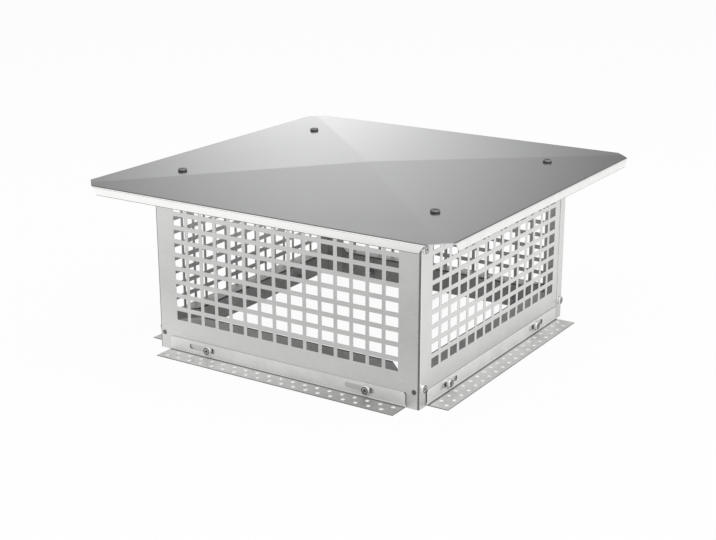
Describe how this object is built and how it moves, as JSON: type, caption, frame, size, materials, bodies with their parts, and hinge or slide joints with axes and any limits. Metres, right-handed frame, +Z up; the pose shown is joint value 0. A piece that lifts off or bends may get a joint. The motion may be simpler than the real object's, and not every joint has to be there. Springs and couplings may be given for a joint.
{
  "type": "chimney rain cap",
  "caption": "Square chimney rain cap in stainless sheet: low pyramid lid with drip lips on a punched mesh cage, with slotted, perforated angle feet that slide along its skirt.",
  "frame": {"origin": "middle of the cage, on the surface that the feet stand on", "axes": "+Z up out of the flue; -Y is the front, where a flanged panel laps round the ends of the two side panels; +X is the right side"},
  "size_m": [0.444, 0.444, 0.1975],
  "materials": {
    "lid_sheet": "satin stainless sheet",
    "cage_sheet": "satin stainless sheet",
    "foot_sheet": "satin stainless sheet",
    "ledge_sheet": "satin stainless sheet",
    "fastener": "bright machined stainless"
  },
  "bodies": {
    "cap": {"lid": "lid_sheet", "lid_screws": "fastener", "front_panel": "cage_sheet", "front_ledge": "ledge_sheet", "front_foot_bolts": "fastener", "front_foot_nuts": "fastener", "right_panel": "cage_sheet", "right_ledge": "ledge_sheet", "right_foot_bolts": "fastener", "right_foot_nuts": "fastener", "back_panel": "cage_sheet", "back_ledge": "ledge_sheet", "back_foot_bolts": "fastener", "back_foot_nuts": "fastener", "left_panel": "cage_sheet", "left_ledge": "ledge_sheet", "left_foot_bolts": "fastener", "left_foot_nuts": "fastener", "right_corner_screws": "fastener", "right_top_flange": "cage_sheet", "left_corner_screws": "fastener", "left_top_flange": "cage_sheet", "front_corner_flanges": "cage_sheet", "back_corner_flanges": "cage_sheet"},
    "front_foot": {"front_foot": "foot_sheet"},
    "right_foot": {"right_foot": "foot_sheet"},
    "back_foot": {"back_foot": "foot_sheet"},
    "left_foot": {"left_foot": "foot_sheet"}
  },
  "joints": [
    {"name": "front_foot_slide", "type": "slide", "parent": "cap", "child": "front_foot", "axis": [1, 0, 0], "range_m": [-0.0065, 0.0225]},
    {"name": "right_foot_slide", "type": "slide", "parent": "cap", "child": "right_foot", "axis": [0, 1, 0], "range_m": [-0.0022, 0.0022]},
    {"name": "back_foot_slide", "type": "slide", "parent": "cap", "child": "back_foot", "axis": [-1, 0, 0], "range_m": [-0.013, 0.016]},
    {"name": "left_foot_slide", "type": "slide", "parent": "cap", "child": "left_foot", "axis": [0, -1, 0], "range_m": [-0.0022, 0.0022]}
  ]
}
